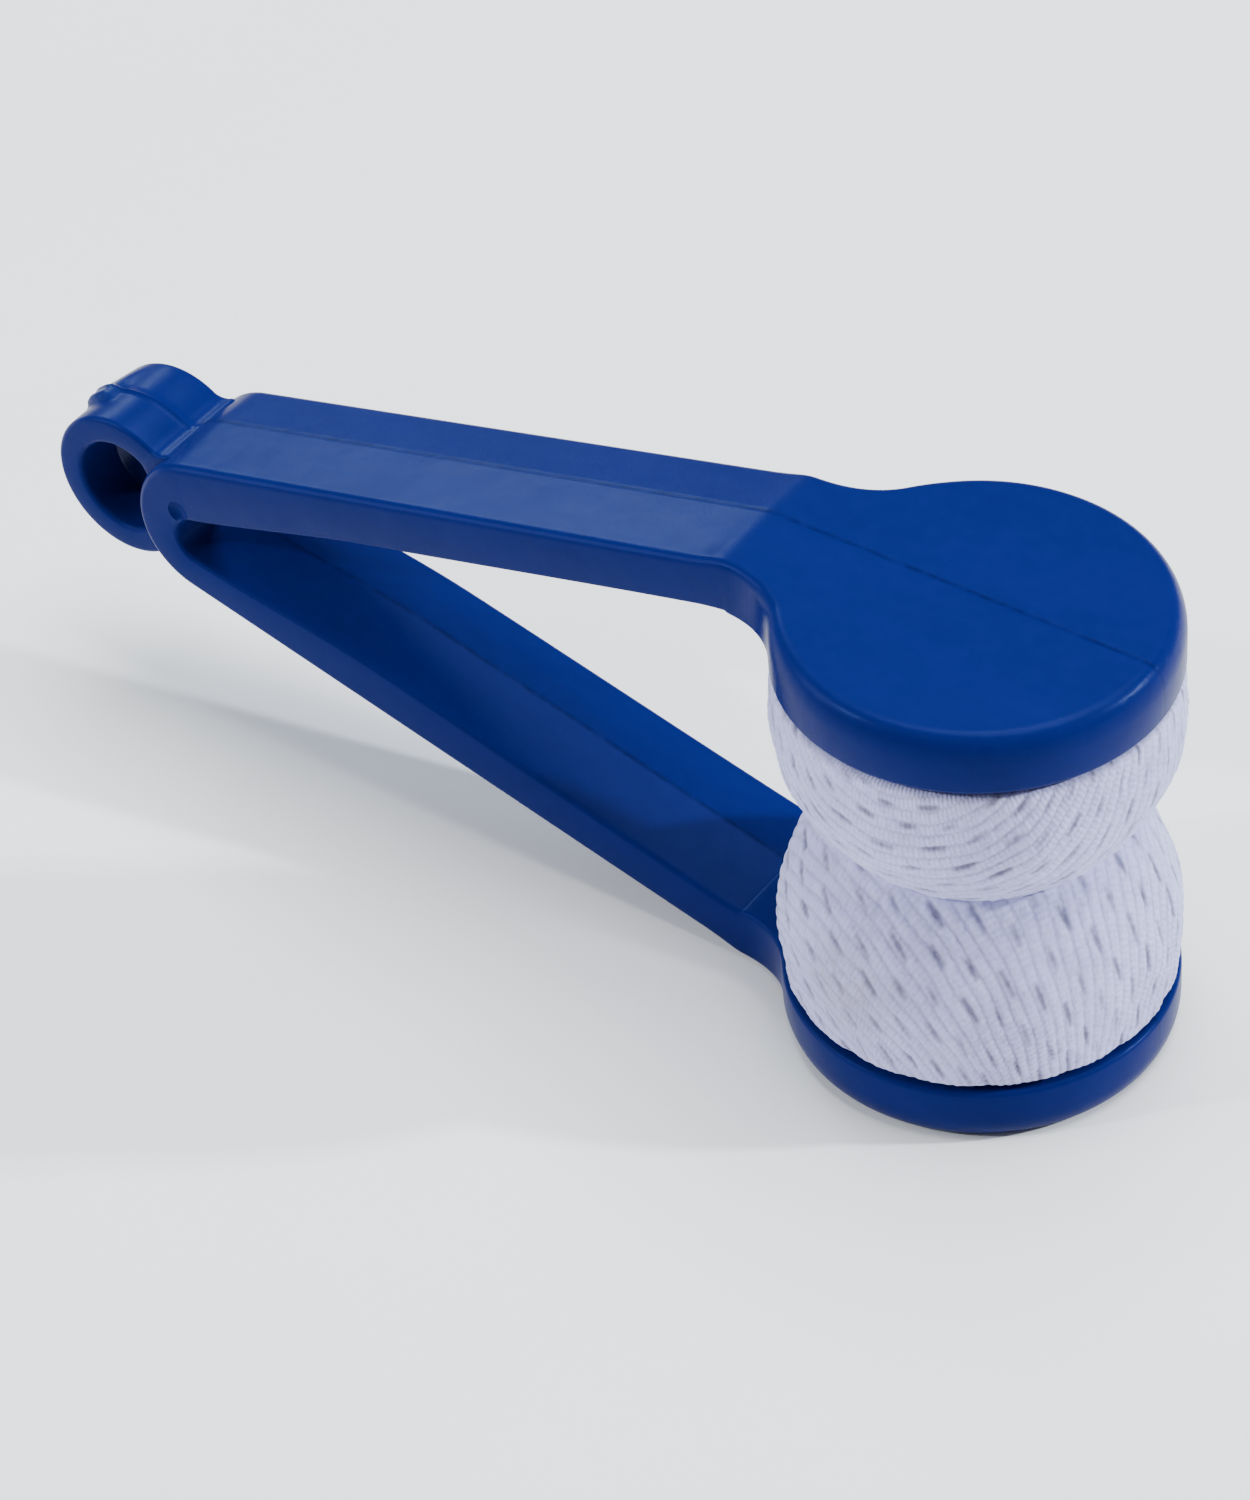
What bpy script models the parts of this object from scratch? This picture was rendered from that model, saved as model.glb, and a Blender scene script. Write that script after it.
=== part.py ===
"""Key-ring tongs for cleaning spectacle lenses.

One plastic moulding: a loop for a key ring, a U-shaped spring bow and two arms in a V, each ending in
a round disc. The moulding flexes, so it is modelled as stiff lengths with a narrow slit at each bend.
Each disc carries a padded microfibre pad: adhesive, stiff backing, foam core and cloth cover.

The origin is the centre of the lower disc's outer face, on which the tongs stand. +X runs from the
loop to the tip of the heads, +Z is up, and the upper half is the lower half turned over about X.
"""

import math

import bmesh
import bpy
from mathutils import Matrix, Vector

MM = 0.001
GAP = 0.3 * MM  # between pieces that touch
WELD = 0.01 * MM  # points this close are one point

# Heads
DISC_RADIUS = 11.35 * MM
DISC_THICKNESS = 3.7 * MM
HALF_HEIGHT = 14.85 * MM  # from the plane between the pads to a disc's outer face

# Arms
ARM_ANGLE = math.radians(14.35)
CREASE_X = -14.0 * MM  # where the sloping arm meets the flat disc
ARM_THICKNESS_AT_HEAD = 3.65 * MM
ARM_THICKNESS_AT_BOW = 3.25 * MM
ARM_WIDTH_AT_HEAD = 8.55 * MM
ARM_WIDTH_AT_BOW = 8.1 * MM
NECK_FILLET = 5.3 * MM
EDGE_ROUNDING = 0.6 * MM

# Spring bow and key loop
BOW_X = -51.6 * MM
LOOP_X = -58.8 * MM
LOOP_RADIUS = 4.8 * MM
LOOP_HOLE_RADIUS = 3.0 * MM
LOOP_WIDTH = 6.1 * MM
DIMPLE_X = -54.0 * MM
DIMPLE_ABOVE_MIDDLE = 1.15 * MM
DIMPLE_RADIUS = 0.65 * MM
DIMPLE_DEPTH = 0.35 * MM

# Where the moulding bends
OPEN_PIVOT_X = -47.6 * MM
SQUEEZE_PIVOT_X = -38.9 * MM
SLIT = 0.6 * MM

# Pads, from the disc's inner face to the plane between the pads
GLUE_RADIUS = 9.0 * MM
GLUE_THICKNESS = 0.5 * MM
LIP_HOLE_RADIUS = 5.0 * MM
LIP_THICKNESS = 0.8 * MM
BACKING_RADIUS = 9.2 * MM
BACKING_THICKNESS = 1.2 * MM
CORE_EDGE = 2.4 * MM
COVER_THICKNESS = 1.6 * MM
CONTACT_RADIUS = 8.2 * MM
BULGE_RADIUS = 11.45 * MM
BULGE_DEPTH = 7.2 * MM
DOME_POWER = 2.0  # how quickly the side swells out from the waist
BASE_RADIUS = 11.2 * MM
BASE_ROUNDING = 0.5 * MM
DOME_STEPS = 7

TURN_STEPS = 48
ARC_STEP = math.radians(7.5)

BLUE = (0.008, 0.055, 0.235)
MICROFIBRE_WHITE = (0.62, 0.64, 0.74)
FOAM_GREY = (0.42, 0.42, 0.45)
BACKING_WHITE = (0.75, 0.75, 0.74)
ADHESIVE_AMBER = (0.72, 0.62, 0.42)


def clear_scene():
    for obj in list(bpy.data.objects):
        bpy.data.objects.remove(obj, do_unlink=True)


def new_collection(name, helpers=False):
    collection = bpy.data.collections.new(name)
    bpy.context.scene.collection.children.link(collection)
    collection.hide_render = helpers
    return collection


def new_material(name, colour, roughness):
    material = bpy.data.materials.new(name)
    material.use_nodes = True
    shader = material.node_tree.nodes["Principled BSDF"]
    shader.inputs["Base Color"].default_value = (*colour, 1.0)
    shader.inputs["Roughness"].default_value = roughness
    shader.inputs["Metallic"].default_value = 0.0
    return material


def arc(centre, radius, start, end):
    """Points along an arc, ends included, at most ARC_STEP apart."""
    steps = max(2, math.ceil(abs(end - start) / ARC_STEP))
    angles = [start + (end - start) * i / steps for i in range(steps + 1)]
    return [
        (centre[0] + radius * math.cos(angle), centre[1] + radius * math.sin(angle))
        for angle in angles
    ]


def extruded(name, outline, half_depth, matrix, collection):
    """A closed mesh from a flat outline, extruded both ways from its plane and placed by matrix."""
    curve = bpy.data.curves.new(name + "_outline", "CURVE")
    curve.dimensions = "2D"
    curve.fill_mode = "BOTH"
    curve.extrude = half_depth
    spline = curve.splines.new("POLY")
    spline.points.add(len(outline) - 1)
    for point, (x, y) in zip(spline.points, outline):
        point.co = (x, y, 0.0, 1.0)
    spline.use_cyclic_u = True
    drawn = bpy.data.objects.new(name + "_outline", curve)
    collection.objects.link(drawn)
    graph = bpy.context.evaluated_depsgraph_get()
    mesh = bpy.data.meshes.new_from_object(drawn.evaluated_get(graph))
    bpy.data.objects.remove(drawn, do_unlink=True)
    shape = bmesh.new()
    shape.from_mesh(mesh)
    bmesh.ops.remove_doubles(shape, verts=shape.verts, dist=WELD)
    bmesh.ops.transform(shape, matrix=matrix, verts=shape.verts)
    bmesh.ops.recalc_face_normals(shape, faces=shape.faces)
    shape.to_mesh(mesh)
    shape.free()
    mesh.name = name
    obj = bpy.data.objects.new(name, mesh)
    collection.objects.link(obj)
    return obj


def cylinder(name, radius, depth, location, collection):
    """A cylinder along Y, centred on location."""
    mesh = bpy.data.meshes.new(name)
    shape = bmesh.new()
    bmesh.ops.create_cone(
        shape, cap_ends=True, segments=TURN_STEPS, radius1=radius, radius2=radius, depth=depth
    )
    bmesh.ops.rotate(shape, matrix=Matrix.Rotation(math.pi / 2, 3, "X"), verts=shape.verts)
    shape.to_mesh(mesh)
    shape.free()
    obj = bpy.data.objects.new(name, mesh)
    obj.location = location
    collection.objects.link(obj)
    return obj


def turned(name, profile, collection):
    """A solid turned about Z from (radius, height) points that run down its outer side."""
    mesh = bpy.data.meshes.new(name)
    shape = bmesh.new()
    points = [shape.verts.new((radius, 0.0, height)) for radius, height in profile]
    for first, second in zip(points, points[1:]):
        shape.edges.new((first, second))
    shape.to_mesh(mesh)
    shape.free()
    obj = bpy.data.objects.new(name, mesh)
    collection.objects.link(obj)
    screw = obj.modifiers.new("Turn", "SCREW")
    screw.steps = TURN_STEPS
    screw.render_steps = TURN_STEPS
    screw.use_merge_vertices = True
    screw.merge_threshold = WELD
    return obj


def as_cutter(obj):
    obj.hide_render = True
    obj.display_type = "WIRE"
    return obj


def combine(obj, other, operation):
    boolean = obj.modifiers.new(operation.title() + " " + other.name, "BOOLEAN")
    boolean.operation = operation
    boolean.solver = "EXACT"
    boolean.object = other


def round_edges(obj):
    bevel = obj.modifiers.new("Rounded edges", "BEVEL")
    bevel.limit_method = "ANGLE"
    bevel.angle_limit = math.radians(40)
    bevel.width = EDGE_ROUNDING
    bevel.segments = 2


def turn_over(obj):
    """Turns a piece of the lower half into its twin on the upper half."""
    over = Matrix.Translation((0.0, 0.0, 2 * HALF_HEIGHT)) @ Matrix.Rotation(math.pi, 4, "X")
    obj.matrix_world = over @ obj.matrix_world


def finish(obj, material):
    obj.data.materials.append(material)
    obj.data.shade_smooth()
    obj.data.set_sharp_from_angle(angle=math.radians(35))


# --- Side view of the moulding. Heights here are outward from the plane between the pads. ---


def share_to_bow(x):
    """0 at the crease beside the disc, 1 at the bow."""
    return (x - CREASE_X) / (BOW_X - CREASE_X)


def arm_thickness(x):
    return ARM_THICKNESS_AT_HEAD + share_to_bow(x) * (ARM_THICKNESS_AT_BOW - ARM_THICKNESS_AT_HEAD)


def arm_middle(x):
    """The point on the arm's middle line at this x."""
    outer = HALF_HEIGHT + (x - CREASE_X) * math.tan(ARM_ANGLE)
    return Vector((x, outer - arm_thickness(x) / 2 / math.cos(ARM_ANGLE)))


def arm_section(x, along=0.0):
    """The arm's inner and outer points on a cut square to its length, moved along it by a distance."""
    length = Vector((math.cos(ARM_ANGLE), math.sin(ARM_ANGLE)))
    outward = Vector((-length.y, length.x))
    middle = arm_middle(x) + along * length
    half = arm_thickness(middle.x) / 2
    return middle - half * outward, middle + half * outward


def bow_radii():
    """The bow's inner and outer radius, for arcs that touch the arm's two faces."""
    outer = (HALF_HEIGHT + (BOW_X - CREASE_X) * math.tan(ARM_ANGLE)) * math.cos(ARM_ANGLE)
    return outer - ARM_THICKNESS_AT_BOW, outer


def downward(points):
    """World heights of points that are given outward from the middle plane, on the lower half."""
    return [(x, HALF_HEIGHT - outward) for x, outward in points]


def side_piece(name, outline, collection):
    """A length of the moulding: its side outline, as wide as the discs until the planform cuts it."""
    upright = Matrix.Rotation(math.pi / 2, 4, "X")
    return extruded(name, outline, DISC_RADIUS + 2 * MM, upright, collection)


def planform(collection):
    """The moulding from above: a round head, filleted necks and an arm that narrows towards the bow."""
    half = ARM_WIDTH_AT_HEAD / 2
    reach = DISC_RADIUS + NECK_FILLET
    fillet_y = half + NECK_FILLET
    fillet_x = -math.sqrt(reach**2 - fillet_y**2)
    touch = math.atan2(fillet_y, fillet_x)
    disc = arc((0.0, 0.0), DISC_RADIUS, -touch, touch)
    neck = arc((fillet_x, fillet_y), NECK_FILLET, touch - math.pi, -math.pi / 2)
    near_end = BOW_X - 10 * MM
    tail = [(BOW_X, ARM_WIDTH_AT_BOW / 2), (near_end, ARM_WIDTH_AT_BOW / 2)]
    other_side = [(x, -y) for x, y in reversed(neck[1:] + tail)]
    outline = disc + neck[1:] + tail + other_side
    raised = Matrix.Translation((0.0, 0.0, HALF_HEIGHT))
    cutter = extruded("planform", outline, HALF_HEIGHT + 2 * MM, raised, collection)
    return as_cutter(cutter)


def arm_and_disc(name, collection):
    inner, outer = arm_section(SQUEEZE_PIVOT_X, SLIT / 2)
    drop = arm_thickness(CREASE_X) / math.cos(ARM_ANGLE) - DISC_THICKNESS
    inner_crease = CREASE_X + drop / math.tan(ARM_ANGLE)
    tip = DISC_RADIUS + MM
    outline = [
        (tip, HALF_HEIGHT),
        (CREASE_X, HALF_HEIGHT),
        tuple(outer),
        tuple(inner),
        (inner_crease, HALF_HEIGHT - DISC_THICKNESS),
        (tip, HALF_HEIGHT - DISC_THICKNESS),
    ]
    return side_piece(name, downward(outline), collection)


def leg(name, collection):
    head_inner, head_outer = arm_section(SQUEEZE_PIVOT_X, -SLIT / 2)
    bow_inner, bow_outer = arm_section(OPEN_PIVOT_X, SLIT / 2)
    outline = [tuple(point) for point in (head_inner, head_outer, bow_outer, bow_inner)]
    return side_piece(name, downward(outline), collection)


def spring_bow(name, planform_cutter, collection, cutters):
    inner_radius, outer_radius = bow_radii()
    inner, outer = arm_section(OPEN_PIVOT_X, -SLIT / 2)
    touch = math.pi / 2 + ARM_ANGLE
    centre = (BOW_X, 0.0)
    outside = arc(centre, outer_radius, touch, 2 * math.pi - touch)
    inside = arc(centre, inner_radius, 2 * math.pi - touch, touch)
    outline = [tuple(outer)] + outside + [(outer.x, -outer.y), (inner.x, -inner.y)]
    outline += inside + [tuple(inner)]
    bow = side_piece(name, downward(outline), collection)
    combine(bow, planform_cutter, "INTERSECT")
    round_edges(bow)
    dimple = cylinder(
        "dimple",
        DIMPLE_RADIUS,
        2 * DIMPLE_DEPTH,
        (DIMPLE_X, -ARM_WIDTH_AT_BOW / 2, HALF_HEIGHT + DIMPLE_ABOVE_MIDDLE),
        cutters,
    )
    combine(bow, as_cutter(dimple), "DIFFERENCE")
    return bow


def key_loop(name, collection, cutters):
    """A ring that runs into the bow, so its hole is closed by the bow's round back."""
    outer_radius = bow_radii()[1]
    centre = (LOOP_X, 0.0, HALF_HEIGHT)
    ring = cylinder(name, LOOP_RADIUS, LOOP_WIDTH, centre, collection)
    hole = cylinder("loop_hole", LOOP_HOLE_RADIUS, 2 * LOOP_WIDTH, centre, cutters)
    back = cylinder(
        "bow_clearance",
        outer_radius + GAP,
        2 * LOOP_WIDTH,
        (BOW_X, 0.0, HALF_HEIGHT),
        cutters,
    )
    combine(ring, as_cutter(hole), "DIFFERENCE")
    combine(ring, as_cutter(back), "DIFFERENCE")
    round_edges(ring)
    return ring


# --- Pad pieces of the lower head, standing on the lower disc ---


def pad_levels():
    """Heights of the stack's faces, from the disc's inner face up to the other pad."""
    levels = {"base": DISC_THICKNESS + GAP}
    levels["glue_top"] = levels["base"] + GLUE_THICKNESS
    levels["lip_bottom"] = levels["glue_top"] + GAP
    levels["lip_top"] = levels["lip_bottom"] + LIP_THICKNESS
    levels["backing_bottom"] = levels["lip_top"] + GAP
    levels["backing_top"] = levels["backing_bottom"] + BACKING_THICKNESS
    levels["core_bottom"] = levels["backing_top"] + GAP
    levels["contact"] = HALF_HEIGHT - GAP / 2
    levels["ceiling"] = levels["contact"] - COVER_THICKNESS
    levels["core_top"] = levels["ceiling"] - GAP
    return levels


def pad_side():
    """The cover's outer side as (radius, height) points: a dome out from the waist, then a straight base."""
    at = pad_levels()
    points = []
    for step in range(DOME_STEPS + 1):
        share = step / DOME_STEPS
        inset = (BULGE_RADIUS - CONTACT_RADIUS) * (1 - share) ** DOME_POWER
        points.append((BULGE_RADIUS - inset, at["contact"] - BULGE_DEPTH * share))
    points.append((BASE_RADIUS, at["base"] + BASE_ROUNDING))
    return points + [(BASE_RADIUS - BASE_ROUNDING, at["base"])]


def pad_cover(name, collection):
    """Cloth over the whole pad, its edge gathered in under the backing."""
    at = pad_levels()
    wall = BACKING_RADIUS + GAP
    skirt = GLUE_RADIUS + GAP
    inside = [
        (skirt, at["base"]),
        (skirt, at["lip_bottom"]),
        (LIP_HOLE_RADIUS, at["lip_bottom"]),
        (LIP_HOLE_RADIUS, at["lip_top"]),
        (wall, at["lip_top"]),
        (wall, at["ceiling"] - CORE_EDGE),
        (wall - CORE_EDGE, at["ceiling"]),
        (0.0, at["ceiling"]),
    ]
    return turned(name, [(0.0, at["contact"])] + pad_side() + inside, collection)


def pad_core(name, collection):
    at = pad_levels()
    profile = [
        (0.0, at["core_top"]),
        (BACKING_RADIUS - CORE_EDGE, at["core_top"]),
        (BACKING_RADIUS, at["core_top"] - CORE_EDGE),
        (BACKING_RADIUS, at["core_bottom"]),
        (0.0, at["core_bottom"]),
    ]
    return turned(name, profile, collection)


def flat_disc(name, radius, bottom, top, collection):
    profile = [(0.0, top), (radius, top), (radius, bottom), (0.0, bottom)]
    return turned(name, profile, collection)


# --- Assembly ---


def joint_axis(name, x, side, parent, collection):
    """An empty on a bend's axis. Side is -1 on the lower half and 1 on the upper half."""
    empty = bpy.data.objects.new(name, None)
    empty.empty_display_size = 3 * MM
    empty.location = (x, 0.0, HALF_HEIGHT + side * arm_middle(x).y)
    collection.objects.link(empty)
    attach(empty, parent)
    return empty


def attach(obj, parent):
    """Parents obj and leaves it where it is."""
    if parent is None:
        return
    bpy.context.view_layer.update()
    obj.parent = parent
    obj.matrix_parent_inverse = parent.matrix_world.inverted()


def build_half(side, materials, planform_cutter, collection):
    """One arm with its disc, leg and pad. Returns its pieces by the body that each belongs to."""
    at = pad_levels()
    prefix = "lower_" if side < 0 else "upper_"
    arm = arm_and_disc(prefix + "arm", collection)
    short_leg = leg(prefix + "leg", collection)
    for piece in (arm, short_leg):
        combine(piece, planform_cutter, "INTERSECT")
        round_edges(piece)
        finish(piece, materials["moulding"])
    cover = pad_cover(prefix + "pad_cover", collection)
    core = pad_core(prefix + "pad_core", collection)
    backing = flat_disc(
        prefix + "pad_backing", BACKING_RADIUS, at["backing_bottom"], at["backing_top"], collection
    )
    glue = flat_disc(prefix + "pad_glue", GLUE_RADIUS, at["base"], at["glue_top"], collection)
    finish(cover, materials["microfibre"])
    finish(core, materials["foam"])
    finish(backing, materials["backing"])
    finish(glue, materials["adhesive"])
    if side > 0:
        for piece in (arm, short_leg, cover, core, backing, glue):
            turn_over(piece)
    return {"arm": [arm, cover, core, backing, glue], "leg": [short_leg]}


def build():
    clear_scene()
    tongs = new_collection("lens_cleaning_tongs")
    cutters = new_collection("cutters", helpers=True)
    materials = {
        "moulding": new_material("blue_polypropylene", BLUE, 0.38),
        "microfibre": new_material("white_microfibre", MICROFIBRE_WHITE, 0.95),
        "foam": new_material("grey_foam", FOAM_GREY, 0.9),
        "backing": new_material("white_backing_board", BACKING_WHITE, 0.6),
        "adhesive": new_material("clear_adhesive", ADHESIVE_AMBER, 0.3),
    }
    outline = planform(cutters)
    lower = build_half(-1, materials, outline, tongs)
    upper = build_half(1, materials, outline, tongs)
    bow = spring_bow("spring_bow", outline, tongs, cutters)
    loop = key_loop("key_loop", tongs, cutters)
    for piece in (bow, loop):
        finish(piece, materials["moulding"])

    squeeze_lower = joint_axis("squeeze_lower_axis", SQUEEZE_PIVOT_X, -1, None, tongs)
    open_lower = joint_axis("open_lower_axis", OPEN_PIVOT_X, -1, squeeze_lower, tongs)
    open_upper = joint_axis("open_upper_axis", OPEN_PIVOT_X, 1, open_lower, tongs)
    squeeze_upper = joint_axis("squeeze_upper_axis", SQUEEZE_PIVOT_X, 1, open_upper, tongs)
    for axis, pieces in (
        (squeeze_lower, lower["leg"]),
        (open_lower, [bow, loop]),
        (open_upper, upper["leg"]),
        (squeeze_upper, upper["arm"]),
    ):
        for piece in pieces:
            attach(piece, axis)


build()
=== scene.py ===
import math

import bmesh
import bpy
import numpy as np
from mathutils import Matrix, Vector


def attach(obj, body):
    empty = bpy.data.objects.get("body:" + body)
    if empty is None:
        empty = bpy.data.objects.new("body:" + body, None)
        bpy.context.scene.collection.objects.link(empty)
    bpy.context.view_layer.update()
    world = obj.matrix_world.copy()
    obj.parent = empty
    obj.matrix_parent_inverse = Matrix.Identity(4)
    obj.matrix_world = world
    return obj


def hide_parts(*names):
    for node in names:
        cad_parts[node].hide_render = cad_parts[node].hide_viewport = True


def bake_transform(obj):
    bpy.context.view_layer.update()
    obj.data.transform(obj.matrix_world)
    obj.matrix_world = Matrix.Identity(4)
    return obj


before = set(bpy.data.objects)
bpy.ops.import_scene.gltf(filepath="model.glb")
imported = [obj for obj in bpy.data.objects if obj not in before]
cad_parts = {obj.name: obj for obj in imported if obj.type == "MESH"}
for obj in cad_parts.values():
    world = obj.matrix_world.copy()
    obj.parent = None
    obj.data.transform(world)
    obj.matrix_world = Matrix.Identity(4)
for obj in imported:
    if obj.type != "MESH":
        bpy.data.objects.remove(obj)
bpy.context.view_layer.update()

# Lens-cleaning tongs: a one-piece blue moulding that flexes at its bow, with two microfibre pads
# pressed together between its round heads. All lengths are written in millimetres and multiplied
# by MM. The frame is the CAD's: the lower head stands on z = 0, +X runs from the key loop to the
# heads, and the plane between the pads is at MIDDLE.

MM = 0.001

# --- Sizes that repeat the CAD's, in millimetres ---

MIDDLE = 14.85
DISC_RADIUS = 11.35
DISC_THICKNESS = 3.7
ARM_ANGLE = math.radians(14.35)
CREASE_X = -14.0
ARM_THICKNESS_AT_HEAD = 3.65
ARM_THICKNESS_AT_BOW = 3.25
ARM_WIDTH_AT_HEAD = 8.55
ARM_WIDTH_AT_BOW = 8.1
NECK_FILLET = 5.3
BOW_X = -51.6
LOOP_X = -58.8
LOOP_RADIUS = 4.8
LOOP_HOLE_RADIUS = 3.0
LOOP_WIDTH = 6.1
OPEN_PIVOT_X = -47.6
SQUEEZE_PIVOT_X = -38.9

PAD_BASE = 4.0
LIP_BOTTOM = 4.8
LIP_TOP = 5.6
CORE_BOTTOM = 7.4
CORE_TOP = 12.8
CEILING = 13.1
SKIRT_RADIUS = 9.3
LIP_HOLE_RADIUS = 5.0
BACKING_RADIUS = 9.2
WALL_RADIUS = 9.5
BASE_RADIUS = 11.2
BASE_ROUNDING = 0.5

# --- Sizes that follow the photo more closely than the CAD's, in millimetres ---

CONTACT_RADIUS = 8.1
BULGE_RADIUS = 11.4
DIMPLE_X = -53.6
DIMPLE_ABOVE_MIDDLE = 1.1
DIMPLE_RADIUS = 0.6
DIMPLE_DEPTH = 0.22

# --- The moulding's finish, in millimetres ---

OUTER_EDGE = 0.55  # rounding where the outer faces meet the sides
HEAD_EDGE = 1.0  # the same on the round heads, which are rounded deeper than they are inset
HEAD_EDGE_DEPTH = 1.7
EDGE_CHANGE = (7.0, 12.5)  # from a disc's centre, where one rounding turns into the other
INNER_EDGE = 0.3
OUTER_EDGE_STEPS = 8
INNER_EDGE_STEPS = 4
NEAR_FULLNESS = 0.12  # so that the rounded arms keep the outline of square ones
FAR_FULLNESS = 0.55
EDGE_HOLD = 0.15  # a narrow flat ring that keeps the flats flat in smooth shading
CREASE_BLEND = 0.7
THICKNESS_BLEND = 1.0
ROOF_ANGLE = math.radians(2.8)  # the mould's draft, either side of the parting line
ROOF_BLEND = (-1.5, 2.5)  # from the crease, where the draft starts and where it is whole
PARTING_Y = 0.7
PARTING_HALF_WIDTH = 0.18
PARTING_DEPTH = 0.03
PARTING_HOLD = 0.09  # flat strips beside the groove keep its shading narrow
SLOT_DROP = 0.8  # the slot's round end sits below the middle plane
SLOT_REACH = 0.3  # and this much further into the bow
SLOT_FADE = 14.0  # length along the arms over which the slot's end straightens out
SLOT_DEPTH_SHARE = 0.3  # the shift starts at this share of the half thickness
ARM_EXTRA = 0.42  # the inner faces stand this much further in towards the bow
ARM_EXTRA_WHOLE = 8.0  # and do so in full from this far before the bow's turn
BOW_SHIFT = 0.5  # the bow's centre and the loop's are further from the heads than the CAD's
LOOP_SHIFT = 0.2
LOOP_FAR_FULLNESS = 0.45
LOOP_OUTER_FILLET = 1.3  # where the loop runs into the bow, and the same inside its hole
LOOP_INNER_FILLET = 0.5
LOOP_FLARE = 0.12  # the loop widens this much either side as it nears the bow
LOOP_FLARE_ANGLES = (42.0, 56.0)
LOOP_END = math.radians(29.0)  # its ends are sunk in the bow's wall
LOOP_FINE = math.radians(60.0)  # its steps are finer up to here
LOOP_SEAM_Y = 0.1
LOOP_SEAM_HEIGHT = 0.14
LOOP_SEAM_HALF_WIDTH = 0.22
LOOP_HOLE_SEAM_HALF_WIDTH = 0.15
LOOP_EDGE = 0.35
LOOP_FAR_ROWS = (0.8, 1.6, 2.4)
GATE_ANGLE = math.radians(128.0)  # the rough stub where the moulding left its runner
GATE_HALF_ANGLE = math.radians(19.0)
GATE_LEVEL_SHARE = 0.4  # the share of the half angle over which it stands at its full height
GATE_NEAR_Y = -0.9
GATE_FAR_Y = 3.3
GATE_HEIGHT = 0.55
GATE_STEP = 0.2  # half the width of the step on its near side
GATE_ROWS = (-0.7, -0.3, -0.1, 0.1, 0.3, 0.6)  # rows of points, from that step
GATE_TORN = (0.6, 1.7)  # from the torn patch's middle, where it starts to fade and ends
SEAM_SHADE = (0.04, 0.24)  # the same for the painted shade of the parting line's groove
SEAM_FADE_X = (-56.0, -54.5)  # that painted shade is gone on the loop and whole from the bow on
LEG_END = 3.5  # from the opening pivot to the joint with the bow

# --- The moulding's mesh, in millimetres and degrees ---

PATH_MARGIN = 12.0  # the sampled path runs on this far past the discs' centres
PATH_STEP = 0.02
HEAD_STEP = 2.5
ARC_STEP = 4.0
LOOP_FINE_STEP = 1.5
ROW_STEP = 1.0  # the cross rows' spacing, and finer ones at the creases and round the bow
CREASE_ROW_STEP = 0.2
BOW_ROW_STEP = 0.3
ROW_MARGIN = 0.05  # no row comes closer to a piece's end
SHARP_ANGLE = 40.0
LOOP_SHARP_ANGLE = 50.0

# --- Cloth, in millimetres ---

WALE = 0.9
COURSE = 0.8
DASH_ROW = 1.9
DASH_SPAN = 3.2
DASH_HALF_LENGTH = 0.9
DASH_HALF_WIDTH = 0.21
DASH_JITTER_ALONG = 0.5
DASH_JITTER_ACROSS = 0.35
DASH_JITTER_LEAN = 0.15
FAN_AXIS = math.radians(-30.0)  # dashes that lie this way from the middle keep to the wales
CORD_HEIGHT = 0.075
LOOP_HEIGHT = 0.03
DASH_DEPTH = 0.1
LUMP_HEIGHT = 0.02
PAINTED_SHADE_PLACE = (-1.8, -11.0, 8.9)  # painted shade: a faint, warm darkening low on the lower pad's front, and its reach
PAINTED_SHADE_REACH = 4.6
PAD_COLUMNS = 720
SIDE_ROWS = 110
BASE_ROWS = 5

# --- A pad's contact face and inside, in millimetres ---

TIP_RADIUS = 0.02  # the first and last rows, closed by a point
CONTACT_ROWS = (TIP_RADIUS, 1.5, 3.0, 4.5, 5.7, 6.7, 7.4, 7.8)
CONTACT_GAP = 0.03  # the faces stop this far short of each other's plane
SHOULDER_DROP = 3.2  # the cover's inner shoulder, below its ceiling
SHOULDER_INSET = 2.6
CEILING_DROP = 0.6
CORE_COLUMNS = 96
CORE_FOOT = 0.3  # the core's side starts this far up
CORE_HEADROOM = 0.7
CORE_INSET = 0.15
CORE_ROUNDING = 2.6


# ===== Moulding =====

BOW_CENTRE_X = BOW_X - BOW_SHIFT
LOOP_CENTRE_X = LOOP_X - LOOP_SHIFT


def bow_outer_radius():
    outer = MIDDLE + (BOW_CENTRE_X - CREASE_X) * math.tan(ARM_ANGLE)
    return outer * math.cos(ARM_ANGLE)


def arm_stations():
    """Distances along the outer face from the disc's centre: crease, start of the turn, apex."""
    radius = bow_outer_radius()
    turn_x = BOW_CENTRE_X - radius * math.sin(ARM_ANGLE)
    crease = -CREASE_X
    turn = crease + (CREASE_X - turn_x) / math.cos(ARM_ANGLE)
    return crease, turn, turn + radius * (math.pi / 2 - ARM_ANGLE)


CREASE_AT, TURN_AT, APEX_AT = arm_stations()


def arm_thickness(x):
    """The arm's thickness in the CAD."""
    share = (x - CREASE_X) / (BOW_X - CREASE_X)
    return ARM_THICKNESS_AT_HEAD + share * (ARM_THICKNESS_AT_BOW - ARM_THICKNESS_AT_HEAD)


def pivot_station(pivot_x):
    """Distance along the outer face of the point square above a pivot on the arm's middle line."""
    face_x = pivot_x - arm_thickness(pivot_x) / 2 * math.sin(ARM_ANGLE)
    return CREASE_AT + (CREASE_X - face_x) / math.cos(ARM_ANGLE)


def smooth_step(value, low, high):
    share = np.clip((value - low) / (high - low), 0.0, 1.0)
    return share * share * (3 - 2 * share)


def near_half(stations):
    """Stations measured from the nearer head, so both halves read the same widths."""
    return np.where(stations > APEX_AT, 2 * APEX_AT - stations, stations)


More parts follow.
